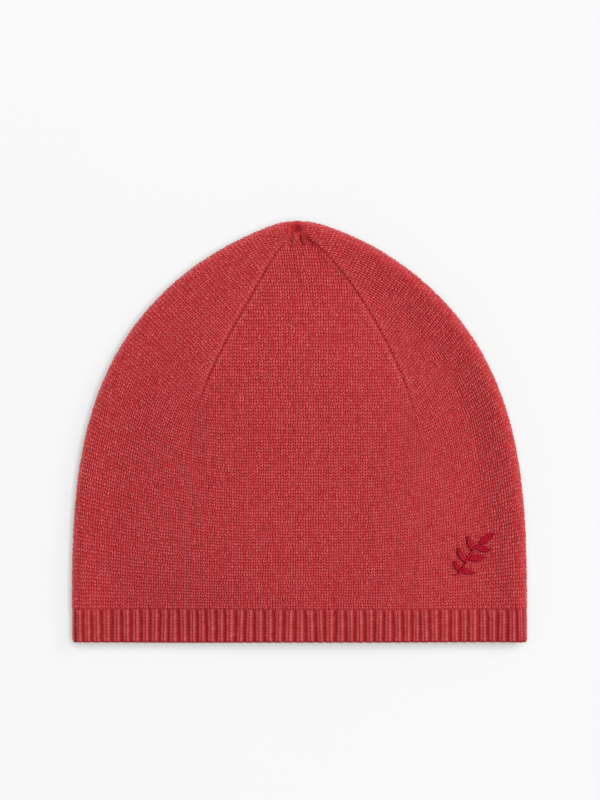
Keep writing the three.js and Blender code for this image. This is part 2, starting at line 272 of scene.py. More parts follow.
# Wales and courses on the surface

PROBE_WALES, PROBE_RUN, PROBE_SHARE = 0.06, 0.12, 0.003  # half steps over which a normal is measured
PROBE_ABOVE, PROBE_BELOW = 0.02, 0.1  # the least q of such a step's ends
TIP_NORMAL_REACH = 2.5


def front_wale(q):
    """Pitch of the front's and the back's wales. Below the shaping the gore always has all of them."""
    return GORE_HALF * gore_share(np.maximum(q, SHAPING_DEPTH)) / HALF_WALES


def side_runs(gore, q):
    """A side gore's width along the cloth, before and behind the side fold."""
    lean = 1 if gore == RIGHT else -1
    return course(q, lean)["run"], course(q, -lean)["run"]


def side_pitch(gore, q):
    """Pitch of a side gore's wales."""
    return sum(side_runs(gore, np.maximum(q, SHAPING_DEPTH))) / GORE_WALES


def gore_limits(gore, q):
    """The wale numbers between which a gore's course lies."""
    if gore in (FRONT, BACK):
        reach = GORE_HALF * gore_share(q) / front_wale(q)
        spread = 1 + WALE_SPREAD
        s = WALE_SPREAD / HALF_WALES
        edge = (spread - np.sqrt(np.maximum(spread**2 - 4 * s * reach, 0))) / (2 * s)
    else:
        edge = sum(side_runs(gore, q)) / 2 / side_pitch(gore, q)
    edge = np.minimum(edge, HALF_WALES)
    return -edge, edge


def place(gore, k, q):
    """Share, hand and side of a wale's point. Wales past the gore's limits go on over its neighbour."""
    if gore in (FRONT, BACK):
        local = front_wale(q) * np.abs(k) * (1 + WALE_SPREAD * (1 - np.abs(k) / HALF_WALES))
        part = local / np.maximum(GORE_HALF * gore_share(q), TINY)
        side = 1 if gore == FRONT else -1
        return np.clip(part, 0, 2) / 2, np.where(k >= 0, side, -side), side
    hand = 1 if gore == RIGHT else -1
    ahead, behind = side_runs(gore, q)
    run = (ahead - behind) / 2 - side_pitch(gore, q) * k * hand
    side = np.where(run >= 0, 1, -1)
    limit = np.maximum(np.where(run >= 0, ahead, behind), TINY)
    return 1 - np.clip(np.abs(run) / limit, 0, 2) / 2, hand, side


def on_face(gore, k, q):
    """A wale's points on the outer face."""
    share, hand, side = place(gore, k, q)
    return face(share, q, hand, side)


def unit(vectors):
    """Vectors made one long. One that has no length becomes a fixed one."""
    length = np.linalg.norm(vectors, axis=-1, keepdims=True)
    return np.where(length > 1e-7, vectors / np.maximum(length, TINY), np.array([0, 0.6, 0.8]))


def outward(gore, k, q, low, high):
    """Unit normals of the outer face, the same on a border for both its gores."""
    k1, k2 = np.clip(k - PROBE_WALES, low, high), np.clip(k + PROBE_WALES, low, high)
    q1, q2 = np.maximum(q - PROBE_RUN, PROBE_ABOVE), np.maximum(q + PROBE_RUN, PROBE_BELOW)
    across = on_face(gore, k2, q) - on_face(gore, k1, q)
    down = on_face(gore, k, q2) - on_face(gore, k, q1)
    normal = unit(np.cross(down, across))

    _, hand, side = place(gore, k, q)
    middle = face(0.5, q, hand, side)
    after = face(0.5 + PROBE_SHARE, q, hand, side) - middle
    before = middle - face(0.5 - PROBE_SHARE, q, hand, side)
    across = unit(after) + unit(before)
    down = face(0.5, q2, hand, side) - face(0.5, q1, hand, side)
    shared = unit(np.cross(down, across) * np.broadcast_to(hand * side, q.shape)[..., None])
    border = (k <= low) | (k >= high)
    normal = np.where(border[..., None], shared, normal)

    tip = np.array([0, math.cos(TIP_ROLL / FOLD_R), math.sin(TIP_ROLL / FOLD_R)])
    near = smooth(q, 0, TIP_NORMAL_REACH)[..., None]
    return unit(normal * near + tip * (1 - near))


def courses_to(q):
    """How many courses lie between the tip and q."""
    return -np.log(1 - COURSE_LOSS * q / COURSE_TOP) / COURSE_LOSS


def q_of(v):
    """Where course v lies."""
    return COURSE_TOP / COURSE_LOSS * (1 - np.exp(-COURSE_LOSS * v))


# Meshes

KEY_STEPS = 1e6  # how finely the keys of vertices are told apart


def blend_lattice(values, a, b):
    """Values of a lattice between its points, smoothly. Places past its end count as inside its last cell."""
    a = np.clip(a, 0, values.shape[0] - 1.001)
    b = np.clip(b, 0, values.shape[1] - 1.001)
    i, j = a.astype(int), b.astype(int)
    s, t = a - i, b - j
    s, t = s * s * (3 - 2 * s), t * t * (3 - 2 * t)
    low = values[i, j] * (1 - s) + values[i + 1, j] * s
    high = values[i, j + 1] * (1 - s) + values[i + 1, j + 1] * s
    return low * (1 - t) + high * t


def grid_corners(rows, columns, wrap=False):
    """The corners of a grid's quads. With wrap, its last column is joined to its first."""
    r = np.arange(rows - 1)[:, None]
    c = np.arange(columns if wrap else columns - 1)[None, :]
    d = (c + 1) % columns
    corners = [r * columns + c, (r + 1) * columns + c, (r + 1) * columns + d, r * columns + d]
    return np.stack([corner.ravel() for corner in corners], 1)


def weld(keys, corners):
    """One vertex for each distinct key, and the faces without the sides that this closed up."""
    whole = np.round(keys * KEY_STEPS).astype(np.int64)
    _, first, index = np.unique(whole, axis=0, return_index=True, return_inverse=True)
    index = index.reshape(-1)
    corners = index[corners]
    same = [corners[:, i] == corners[:, (i + 1) % 4] for i in range(4)]
    count = sum(s.astype(int) for s in same)
    twisted = (corners[:, 0] == corners[:, 2]) | (corners[:, 1] == corners[:, 3])
    quads = corners[(count == 0) & ~twisted]
    tris = []
    for i in range(4):
        rows = corners[(count == 1) & same[i] & ~twisted]
        tris.append(np.delete(rows, i, axis=1))
    return first, index, quads, np.concatenate(tris)


def chain(ids, runs):
    """The distinct vertices along an edge, and how far along it each is."""
    keep = np.concatenate([[True], ids[1:] != ids[:-1]])
    return ids[keep], runs[keep]


def zip_up(ids_a, runs_a, ids_b, runs_b):
    """Triangles between two edges that run the same way."""
    a, run_a = chain(ids_a, runs_a)
    b, run_b = chain(ids_b, runs_b)
    out = []
    i = j = 0
    while i < len(a) - 1 or j < len(b) - 1:
        if j == len(b) - 1 or (i < len(a) - 1 and run_a[i + 1] <= run_b[j + 1]):
            out.append((a[i], b[j], a[i + 1]))
            i += 1
        else:
            out.append((a[i], b[j], b[j + 1]))
            j += 1
    return np.array([t for t in out if len(set(t)) == 3])


def build(name, points, quads, tris, uv, values):
    """A smooth-shaded piece with its UV map and its values for the materials."""
    mesh = bpy.data.meshes.new(name)
    loops = np.concatenate([quads.ravel(), tris.ravel()]).astype(np.int32)
    totals = np.concatenate([np.full(len(quads), 4), np.full(len(tris), 3)]).astype(np.int32)
    starts = np.concatenate([[0], np.cumsum(totals)[:-1]]).astype(np.int32)
    mesh.vertices.add(len(points))
    mesh.vertices.foreach_set("co", (points * MM).astype(np.float32).ravel())
    mesh.loops.add(len(loops))
    mesh.loops.foreach_set("vertex_index", loops)
    mesh.polygons.add(len(totals))
    mesh.polygons.foreach_set("loop_start", starts)
    mesh.polygons.foreach_set("loop_total", totals)
    mesh.polygons.foreach_set("use_smooth", np.ones(len(totals), bool))
    mesh.update(calc_edges=True)
    layer = mesh.uv_layers.new(name="OFBake")
    layer.data.foreach_set("uv", uv[loops].astype(np.float32).ravel())
    for key, value in values.items():
        mesh.attributes.new(key, "FLOAT", "POINT").data.foreach_set("value", value.astype(np.float32))
    piece = bpy.data.objects.new(name, mesh)
    bpy.context.scene.collection.objects.link(piece)
    return piece


# The crown's knit

LEG_ACROSS = np.array([-0.5, -0.38, -0.13, 0, 0.13, 0.38])  # points across a stitch, in wales
LEG_HEIGHT = np.array([-0.14, 0.88, 1.0, -0.14, 1.0, 0.88])  # its two legs, as shares of its depth
LEG_RISE = 0.65  # courses that a leg climbs
ROW_HEIGHT = np.array([0.24, 1.0, 0.9])  # the rows of points in a course
ROWS = len(ROW_HEIGHT)
BORDER_HEIGHT, HEM_HEIGHT, TIP_HEIGHT = 0.35, 0.3, 0.4  # what stitches even out to there
FREE_WITHIN = 0.3  # a stitch is at full height this many wales from its gore's border
WHOLE_WITHIN = 3  # over this many courses below the shaping, stitches come to reach the border itself
MOVED_WALES, MOVED_COURSES = 0.13, 0.2  # how far stitches are out of place
UNEVEN = (-0.3, 0.15)  # how much flatter or higher a leg is
FRONT_FADE, BACK_FADE = (0.5, 5), (3, 9)  # values of q between which stitches set in; borders fade as the back
CREASE_SHADE, DIMPLE_SHADE = 0.22, 0.9  # painted shade in the creases and the dimple, taken off the yarn's painted shading
SEAM_LIGHT, SEAM_LIGHT_AT, SEAM_LIGHT_REACH = 0.2, 0.8, 0.4  # a painted highlight on the yarn this many wales from a shaping line, and its reach
SEAM_LIGHT_STARTS, SEAM_LIGHT_ENDS = (5, 20), (80, 110)
DRIFT_SHARE, DRIFT_PITCH = 0.15, 0.9  # how much of a yarn's tone drifts along its course, and how fast
TOTAL_COURSES = float(courses_to(RIB_START))
UV_INNER, UV_OUTER = 0.12, 0.14  # the inner face ends and the outer face starts here on the UV map
INNER_WOBBLE = 0.12  # the inner face's points lie this much above or below, by turns


def welded(u, v, points, uv_v, corners):
    """A gore's face as a mesh with one vertex for each distinct place."""
    first, index, quads, tris = weld(np.stack([u, v], -1).reshape(-1, 2), corners)
    uv = np.stack([(u + HALF_WALES) / GORE_WALES, uv_v], -1).reshape(-1, 2)[first]
    points = points.reshape(-1, 3)[first]
    ids = index.reshape(u.shape)
    return dict(u=u, v=v, ids=ids, first=first, points=points, uv=uv, quads=quads, tris=tris)


def stitch_grid():
    """Wale, course and place across the stitch of a gore's grid of points, and its columns' leg heights."""
    k = np.concatenate([i - HALF_WALES + 0.5 + LEG_ACROSS for i in range(GORE_WALES)] + [[HALF_WALES]])
    across = np.append(np.tile(LEG_ACROSS, GORE_WALES), LEG_ACROSS[0])
    leg = np.append(np.tile(LEG_HEIGHT, GORE_WALES), 0)
    leg[0] = 0
    rows = math.ceil((TOTAL_COURSES + LEG_RISE) * ROWS) + 1
    shape = (rows, len(k))
    v = (np.arange(rows) / ROWS)[:, None]
    return np.broadcast_to(k, shape), np.broadcast_to(v, shape), np.broadcast_to(across, shape), leg


def yarn_tone(k, v, leg_at, row_at, rng):
    """Lighter and darker yarn. It drifts a little along each course and differs from leg to leg."""
    courses = len(k) // ROWS
    drift = rng.normal(0, 1, (GORE_WALES + 3, courses + 3))
    drift = (drift[:-1] + drift[1:]) / 1.41  # the sum of two has this much more spread
    along = blend_lattice(drift, (k + HALF_WALES + 1) * DRIFT_PITCH, np.floor(v + NUDGE))
    legs = rng.normal(0, 1, (2 * GORE_WALES + 2, courses + 2))
    return DRIFT_SHARE * along + (1 - DRIFT_SHARE) * legs[leg_at, row_at]


def shade(base, q, room):
    """Painted shade taken off the yarn's painted shading: painted shade in the creases and the dimple, and a
    painted highlight along a shaping line.
    """
    upper = smooth(base[..., 2], FOLD_R, 2 * FOLD_R)
    # Painted shade in the creases and the dimple, on the upper face only.
    dark = CREASE_SHADE * creased(base[..., 0], base[..., 1]) + DIMPLE_SHADE * bell(q, TIP_DIMPLE_REACH)
    # A painted highlight on the raised wales beside a shaping line.
    light = SEAM_LIGHT * bell(room - SEAM_LIGHT_AT, SEAM_LIGHT_REACH)
    return dark * upper - light * (1 - smooth(q, *SEAM_LIGHT_ENDS)) * smooth(q, *SEAM_LIGHT_STARTS)


def stitched_face(gore, rng):
    """A gore's outer face with its stitches, and the tone and painted shading of each of its vertices."""
    k, v0, across, leg = stitch_grid()
    courses = len(k) // ROWS
    row_height = ROW_HEIGHT[np.arange(len(k)) % ROWS][:, None]

    # Room is a point's distance from its gore's border in wales, and free the share of its stitch it keeps.
    low, high = gore_limits(gore, q_of(np.clip(v0 - LEG_RISE / 2, 0, TOTAL_COURSES)))
    room = np.minimum(np.where(k <= low, 0, k - low), np.where(k >= high, 0, high - k))
    room[:, 0] = room[:, -1] = 0
    whole = smooth(v0, courses_to(SHAPING_DEPTH), courses_to(SHAPING_DEPTH) + WHOLE_WITHIN)
    free = np.maximum(smooth(room, 0, FREE_WITHIN), whole)
    from_middle = np.where(room > 0, np.abs(across), 0.5)
    v = np.clip(v0 - LEG_RISE * (0.5 + free * (2 * from_middle - 0.5)), 0, TOTAL_COURSES)

    # Two of the four lattices move the stitches, along the course and along the wale.
    moves = rng.uniform(-1, 1, (4, GORE_WALES + 3, courses + 3))
    at = (k + HALF_WALES + 1, v0 + 0.5)
    bound = (room > 0) & (v > 0) & (v < TOTAL_COURSES)
    loose = np.where(bound, smooth(room, 0, 1) * smooth(TOTAL_COURSES - v, 0, 1), 0)
    moved = v + MOVED_COURSES * loose * blend_lattice(moves[1], *at)
    v = np.where(bound, np.clip(moved, 0, TOTAL_COURSES), v)
    q = q_of(v)
    low, high = gore_limits(gore, q)
    u = np.clip(k + MOVED_WALES * loose * blend_lattice(moves[0], *at), low, high)
    u = np.where(room <= 0, np.where(k < (low + high) / 2, low, high), u)
    u = np.where(v <= 0, 0, u)

    leg_at = np.clip(np.floor((k + HALF_WALES) * 2 + NUDGE), 0, 2 * GORE_WALES).astype(int)
    row_at = np.floor(v0 + NUDGE).astype(int)
    uneven = rng.uniform(*UNEVEN, (2 * GORE_WALES + 1, courses + 2))[leg_at, row_at]
    height = (leg * (1 + uneven * loose) * free + BORDER_HEIGHT * (1 - free)) * row_height
    height = np.where(v >= TOTAL_COURSES, HEM_HEIGHT, height)
    border_fade = smooth(q, *BACK_FADE)
    own_fade = border_fade if gore == BACK else smooth(q, *FRONT_FADE)
    fade = border_fade + (own_fade - border_fade) * smooth(room, 0, 1)
    height = height * fade + TIP_HEIGHT * (1 - fade)

    base = on_face(gore, u, q)
    points = base + outward(gore, u, q, low, high) * (STITCH_DEPTH * (height - 1))[..., None]
    tone = yarn_tone(k, v0, leg_at, row_at, rng)
    uv_v = UV_OUTER + (1 - UV_OUTER) * v / TOTAL_COURSES
    mesh = welded(u, v, points, uv_v, grid_corners(*k.shape))
    # The stitches' height, less the painted shade of the creases and the dimple, is painted on the yarn as
    # light and shade.
    return mesh, tone.reshape(-1)[mesh["first"]], (height - shade(base, q, room)).reshape(-1)[mesh["first"]]


def inner_face(gore):
    """A gore's plain inner face, with one cell to a wale and to about two courses."""
    wales = np.linspace(-HALF_WALES, HALF_WALES, GORE_WALES + 1)
    k, v = np.meshgrid(wales, np.linspace(0, TOTAL_COURSES, int(TOTAL_COURSES / 2) + 1))
    q = q_of(v)
    low, high = gore_limits(gore, q)
    u = np.clip(k, low, high)
    u[:, 0], u[:, -1] = low[:, 0], high[:, 0]
    u[0] = 0
    wobble = np.where((np.arange(len(k))[:, None] + np.arange(k.shape[1])) % 2, INNER_WOBBLE, -INNER_WOBBLE)
    wobble[:, 0] = wobble[:, -1] = wobble[0] = wobble[-1] = 0
    points = on_face(gore, u, q) - WALL * outward(gore, u, q, low, high)
    points[..., 2] += wobble
    return welded(u, v, points, UV_INNER * v / TOTAL_COURSES, grid_corners(*k.shape)[:, ::-1])


def crown_gore(name, gore, seed):
    """A gore as a closed sheet: its stitched outer face, its plain inner face and three strips between."""
    outer, tone, painted_shading = stitched_face(gore, np.random.default_rng(seed))
    inner = inner_face(gore)
    shift = len(outer["points"])
    ids = inner["ids"] + shift
    left = zip_up(outer["ids"][:, 0], outer["v"][:, 0], ids[:, 0], inner["v"][:, 0])
    right = zip_up(outer["ids"][:, -1], outer["v"][:, -1], ids[:, -1], inner["v"][:, -1])
    bottom = zip_up(outer["ids"][-1], outer["u"][-1], ids[-1], inner["u"][-1])
    zeros = np.zeros(len(inner["points"]))
    return build(
        name,
        np.concatenate([outer["points"], inner["points"]]),
        np.concatenate([outer["quads"], inner["quads"] + shift]),
        np.concatenate([outer["tris"], inner["tris"] + shift, left, right[:, ::-1], bottom]),
        np.concatenate([outer["uv"], inner["uv"]]),
        {"tone": np.concatenate([tone, zeros]), "painted_shading": np.concatenate([painted_shading, zeros + 0.5])},
    )


# The ribbed hem

RIBS = 98
RIB_COURSE = 1.62  # course spacing in the rib
RIB_ACROSS = np.array([0.0, 0.08, 0.19, 0.3, 0.36, 0.42, 0.54, 0.66, 0.74, 0.87])  # shares of a rib's pitch
RIB_LEG = np.array([0.0, 0.45, 0.65, 0.5, 0.15, 0.75, 1.0, 0.6, 0.0, -0.25])  # its section, in shares
RIB_V = np.array([1.0, 0.8, 0.5, 0.2, 0.0, 0.2, 0.5, 0.8, 1.0, 1.0])  # the V that a rib's two legs form
RIB_MIDDLE = 0.36  # between the two legs
RIB_RISE = 0.6  # courses that a leg climbs
RIB_ROW = np.array([0.75, 1.0, 0.95])  # the rows of points in a course
RIB_FACE = 1.25  # how far the ribs stand over the grooves
RIB_BACK, RIB_BACK_DEPTH = 0.7, 0.2  # the ribs' relief on the inner face, as a share, and its setting back
RIB_JITTER, RIB_LEAN = 0.09, 0.22  # how far a rib is out of place, in ribs, and leans, in wales
RIB_BEGINS, RIB_FORMS = 0.9, 1.2  # courses below the jersey where a rib begins, and that it takes to form
RIB_STARTS, RIB_ENDS = 1.0, 1.5  # courses over which its legs start and stop to climb
LEG_FLATTER = 0.7  # the legs' height before the ribs have formed, as a share of the jersey's
RIB_TUCK = 0.05  # how far the hem starts under the jersey
EDGE_TURNS = (35, 75, 105, 145)  # degrees round the cast-on edge
EDGE_ROOM, EDGE_COURSES = 0.9, 0.35  # how much of the cloth, and of the courses, is left for the edge
EDGE_THIN, EDGE_THIN_FROM = 0.35, 1.4  # how far the ribs sink towards the edge, over this many courses
EDGE_OUT, EDGE_LEG_OUT = 0.62, 0.25  # how far the edge's roll stands out, and the ribs' legs beyond it
PLAIN_SHADING = 0.6  # how bright the painted shading of the rows without stitches is
INNER_ROWS = 8


def rib_columns(rng):
    """Rib number, wale number and lean of each column of points round the hem."""
    share = np.tile(RIB_ACROSS, RIBS)
    rib = np.repeat(np.arange(RIBS), len(RIB_ACROSS))

    def drifting(reach):
        values = rng.uniform(-reach, reach, RIBS + 1)
        values[-1] = values[0]
        return values[rib] * (1 - share) + values[rib + 1] * share

    wale = 2 * (rib + share + drifting(RIB_JITTER))
    return rib, wale, drifting(RIB_LEAN)


def rib_base(wale, lean, v, total):
    """Points and normals of the outer face along one row of the hem."""
    gore = ((wale + HALF_WALES) // GORE_WALES).astype(int)
    k = wale - gore * GORE_WALES + lean * (v / total - 0.5)
    q = np.minimum(RIB_START - RIB_TUCK + v * RIB_COURSE, FRONT_LINE - EDGE_ROOM)
    base, normal = np.empty((len(wale), 3)), np.empty((len(wale), 3))
    for g in (FRONT, RIGHT, BACK, LEFT):
        pick = gore % 4 == g
        base[pick] = on_face(g, k[pick], q[pick])
        normal[pick] = outward(g, k[pick], q[pick], -HALF_WALES - 1, HALF_WALES + 1)
    return base, normal


def rib_hem():
    """The hem as one closed ring: its outer face, the rounded cast-on edge and its inner face."""
    rng = np.random.default_rng(41)
    rib, wale, lean = rib_columns(rng)
    total = RIB_HEIGHT / RIB_COURSE
    level = np.arange(int(total * ROWS) + 2) / ROWS
    rows = [("out", v0, RIB_ROW[row % ROWS]) for row, v0 in enumerate(level)]
    rows += [("edge", turn, PLAIN_SHADING) for turn in EDGE_TURNS]
    rows += [("in", v0, PLAIN_SHADING) for v0 in np.linspace(total, 0, INNER_ROWS + 1)[1:]]

    leg = np.tile(RIB_LEG, RIBS)
    raised = np.maximum(leg, 0)
    vee = np.tile(RIB_V, RIBS)
    tone = rng.normal(0, 1, (2 * RIBS, len(level) // ROWS + 3))
    half = np.tile((RIB_ACROSS > RIB_MIDDLE).astype(int), RIBS) + 2 * rib
    begins = rng.uniform(0, RIB_BEGINS, RIBS)[rib]
    back = RIB_WALL - RIB_FACE * raised * RIB_BACK + RIB_BACK_DEPTH
    points, tones, painted_shadings = [], [], []
    for kind, at, row_height in rows:
        height = leg
        course_at = 0
        v = np.full(len(wale), at if kind == "in" else total - EDGE_COURSES)
        if kind == "out":
            climbed = RIB_RISE * vee * smooth(total - at, 0, RIB_ENDS) * smooth(at, 0, RIB_STARTS)
            v = np.clip(at - climbed, 0, total - EDGE_COURSES)
            height = np.where(leg > 0, leg * row_height, leg)
            course_at = min(int(at), tone.shape[1] - 1)
        base, normal = rib_base(wale, lean, v, total)
        formed = smooth(v, begins, begins + RIB_FORMS)
        flat = STITCH_DEPTH * (1 - LEG_FLATTER * np.maximum(height, 0))
        depth = RIB_FACE * (1 - height) * formed + flat * (1 - formed)
        depth = depth + EDGE_THIN * smooth(v, total - EDGE_THIN_FROM, total)
        if kind == "edge":
            angle = math.radians(at)
            depth = (depth + back) / 2 - (back - depth) / 2 * math.cos(angle)
            base[:, 1] -= (EDGE_OUT + EDGE_LEG_OUT * raised) * math.sin(angle)
        elif kind == "in":
            depth = back
        points.append(base - normal * depth[:, None])
        tones.append(tone[half, course_at])
        # The ribs' legs get painted light by their height, and painted shade down in the grooves.
        painted_shadings.append(np.maximum(height, 0) * row_height)

    count = len(points)
    corners = grid_corners(count + 1, len(wale), wrap=True) % (count * len(wale))
    uv = np.stack(np.broadcast_arrays(wale / (4 * GORE_WALES), np.linspace(0, 1, count)[:, None]), -1)
    values = {"tone": np.concatenate(tones), "painted_shading": np.concatenate(painted_shadings)}
    no_tris = np.empty((0, 3), int)
    return build("rib_knit", np.concatenate(points), corners, no_tris, uv.reshape(-1, 2), values)


# The embroidered sprig

SPRIG_FROM_FOLD, SPRIG_UP = 30.0, 44.0  # from the hem's side fold and edge to the sprig's middle
SPRIG_X, SPRIG_Y = HEM_HALF - SPRIG_FROM_FOLD, SPRIG_UP - TOP_Y
SPRIG_MAP = 30.0  # what its UV map spans
CLOTH_FROM, CLOTH_CELLS = 110.0, (60, 110)  # the stretch of the front's right side that it lies on
STEM_SPAN, STEM_WIDTH = 14.0, 1.3
STEM_TAPER, STEM_START, STEM_START_RUN = 0.7, 0.3, 1.2  # its lower half width, and how its end opens
LEAF_LENGTH, LEAF_WIDTH, LEAF_BELLY = 9.6, 3.8, 0.42
STEM_POINTS = np.array([(-0.62, -0.62), (-0.25, -0.75), (-0.1, 0.12), (0.36, 0.5)]) * STEM_SPAN
# How far up the stem, which hand, the turn away from the stem in degrees, and the size
LEAVES = [(1, 1, 4, 1), (0.9, 1, 62, 0.85), (0.82, -1, 58, 0.85), (0.64, 1, 58, 0.95), (0.55, -1, 60, 0.95),
          (0.34, 1, 66, 0.8), (0.28, -1, 70, 0.7)]
THREAD_PITCH, THREAD_RIDGE = 0.42, 0.09
LEAF_SLANT, STEM_SLANT = -0.9, 0.6  # how the threads slant over the width
SATIN_TOP, SATIN_SUNK = 1.15, 0.5  # a pad's height over the cloth, and how deep it sits in it
SATIN_THIN = 0.35  # a pad is thinner where its half width is below this share of the stem's width
VEIN_FROM_MIDDLE, VEIN_CURVE, VEIN_DEPTH = 0.46, 2.4, 0.55  # each half of a leaf is highest off its middle
LEAF_SQUARE, STEM_SQUARE, THREAD_SQUARE = 6, 2.6, 4  # how square a pad's section is, and its threads'
PAD_COLUMNS, UNDER_COLUMNS, UNDER_WIDTH = 17, 3, 0.7
STEM_ROWS, LEAF_ROW, LEAF_ENDS = 150, 0.1, (0.02, 0.985)
PAD_EDGE_PAINTED_SHADE, PAD_END_PAINTED_SHADE = 0.7, 0.5  # painted shade on a pad where it slopes down and where it thins out


def stem_at(t):
    """A point of the stem's middle line, and its direction there."""
    a, b, c, d = STEM_POINTS
    t = np.asarray(t, float)[..., None]
    point = (1 - t) ** 3 * a + 3 * (1 - t) ** 2 * t * b + 3 * (1 - t) * t**2 * c + t**3 * d
    tangent = 3 * (1 - t) ** 2 * (b - a) + 6 * (1 - t) * t * (c - b) + 3 * t**2 * (d - c)
    return point, tangent / np.linalg.norm(tangent, axis=-1, keepdims=True)


def satin_pad(centre, aside, half, along, veined):
    """A closed pad of satin stitch over a strip with the given middle line and half widths."""
    rows = len(centre)
    w = np.broadcast_to(np.linspace(-1, 1, PAD_COLUMNS), (rows, PAD_COLUMNS))
    off = np.abs(w)
    if veined:
        vein = (2 * np.abs(off - VEIN_FROM_MIDDLE)) ** VEIN_CURVE * VEIN_DEPTH
        dome = (1 - vein) * np.sqrt(np.maximum(1 - off**LEAF_SQUARE, 0))
        slant = along[:, None] + LEAF_SLANT * off * half[:, None]
    else:
        dome = np.sqrt(np.maximum(1 - off**STEM_SQUARE, 0))
        slant = along[:, None] + STEM_SLANT * w * half[:, None]
    thin = np.minimum(1, half / (SATIN_THIN * STEM_WIDTH))[:, None]
    ridge = np.cos(2 * math.pi * slant / THREAD_PITCH)
    threads = THREAD_RIDGE * ridge * np.sqrt(np.maximum(1 - off**THREAD_SQUARE, 0))
    height = (SATIN_TOP * dome + threads) * thin
    height[:, 0] = height[:, -1] = -SATIN_SUNK / 2
    # Painted shade between the threads, where a pad slopes down at its edges and where it thins out.
    painted_shading = (ridge + 1) / 2 - PAD_EDGE_PAINTED_SHADE * (1 - dome) - PAD_END_PAINTED_SHADE * (1 - thin)

    def strip(places, heights):
        flat = centre[:, None] + aside[:, None] * (places * half[:, None])[..., None]
        return np.concatenate([flat, heights[..., None]], -1)

    under = np.linspace(UNDER_WIDTH, -UNDER_WIDTH, UNDER_COLUMNS)[None]
    sunk = np.full((rows, UNDER_COLUMNS), -SATIN_SUNK)
    ring = np.concatenate([strip(w, height), strip(under, sunk)], 1)
    n = ring.shape[1]
    points = np.concatenate([ring.reshape(-1, 3), ring[:1].mean(1), ring[-1:].mean(1)])
    i = np.arange(n)
    end = (rows - 1) * n
    first = np.stack([np.full(n, rows * n), i, (i + 1) % n], 1)
    last = np.stack([np.full(n, rows * n + 1), end + (i + 1) % n, end + i], 1)
    painted_shading = np.append(np.concatenate([painted_shading, np.zeros((rows, UNDER_COLUMNS))], 1), [0.5, 0.5])
    return points, grid_corners(rows, n, wrap=True), np.concatenate([first, last]), painted_shading


def leaf_pad(up, hand, lean, size):
    """One leaf, laid away from the stem."""
    base, tangent = stem_at(up)
    heading = math.atan2(tangent[1], tangent[0]) - hand * math.radians(lean)
    ahead = np.array([math.cos(heading), math.sin(heading)])
    aside = np.array([-math.sin(heading), math.cos(heading)])
    length, root = LEAF_LENGTH * size, -STEM_WIDTH / 4
    t = np.linspace(*LEAF_ENDS, int(length / LEAF_ROW))
    along = (1 - t) ** 2 * root + 2 * t * (1 - t) * length * LEAF_BELLY + t**2 * length
    half = 2 * t * (1 - t) * LEAF_WIDTH * size
    return satin_pad(base + ahead * along[:, None], np.broadcast_to(aside, (len(t), 2)), half, along, True)


def stem_pad():
    """The stem."""
    t = np.linspace(0, 1, STEM_ROWS)
    centre, tangent = stem_at(t)
    along = np.concatenate([[0], np.cumsum(np.linalg.norm(np.diff(centre, axis=0), axis=1))])
    half = STEM_WIDTH / 2 * (STEM_TAPER + (1 - STEM_TAPER) * t)
    half = half * np.minimum(1, STEM_START + along / STEM_START_RUN)
    return satin_pad(centre, np.stack([-tangent[:, 1], tangent[:, 0]], -1), half, along, False)


def sprig():
    """The stem and its leaves, laid on the cloth."""
    pads = [leaf_pad(*leaf) for leaf in LEAVES] + [stem_pad()]
    points, quads, tris, painted_shadings = [], [], [], []
    shift = 0
    for pad_points, pad_quads, pad_tris, pad_shadings in pads:
        points.append(pad_points)
        quads.append(pad_quads + shift)
        tris.append(pad_tris + shift)
        painted_shadings.append(pad_shadings)
        shift += len(pad_points)
    points = np.concatenate(points)
    points[:, 0] += SPRIG_X
    points[:, 1] += SPRIG_Y

    # The lower right of the front carries the sprig, so each point is raised by the cloth's height there.
    across, down = CLOTH_CELLS
    share, q = np.meshgrid(np.linspace(0.5, 1, across), np.linspace(CLOTH_FROM, FRONT_LINE, down))
    cloth = face(share, q, 1, 1)
    tree = BVHTree.FromPolygons(cloth.reshape(-1, 3).tolist(), grid_corners(*share.shape).tolist())
    well_above = 50
    for point in points:
        point[2] += tree.ray_cast((point[0], point[1], well_above), (0, 0, -1))[0][2]
    uv = (points[:, :2] - (SPRIG_X, SPRIG_Y)) / SPRIG_MAP + 0.5
    quads, tris, painted_shadings = np.concatenate(quads), np.concatenate(tris), np.concatenate(painted_shadings)
    return build("satin_sprig", points, quads, tris, uv, {"painted_shading": painted_shadings})


# Loose fibres

FUZZ_TRIES, FUZZ_PLAIN, FUZZ_RIM = 150000, 0.015, 0.85  # tries, and the shares kept on a flat face and a fold
FUZZ_RIM_REACH = 0.5  # how far, in the upward part of its normal, a fold is taken to go
FUZZ_FROM_TIP, FUZZ_FROM_EDGE = 1.0, 1.2
FIBRE_RADIUS, FIBRE_ROOT = 0.035, 0.55  # the root lies this deep in the knit
FIBRE_RISE, FIBRE_RISE_CURVE, FIBRE_LIE = (0.15, 0.75), 1.3, (0.2, 1.1)


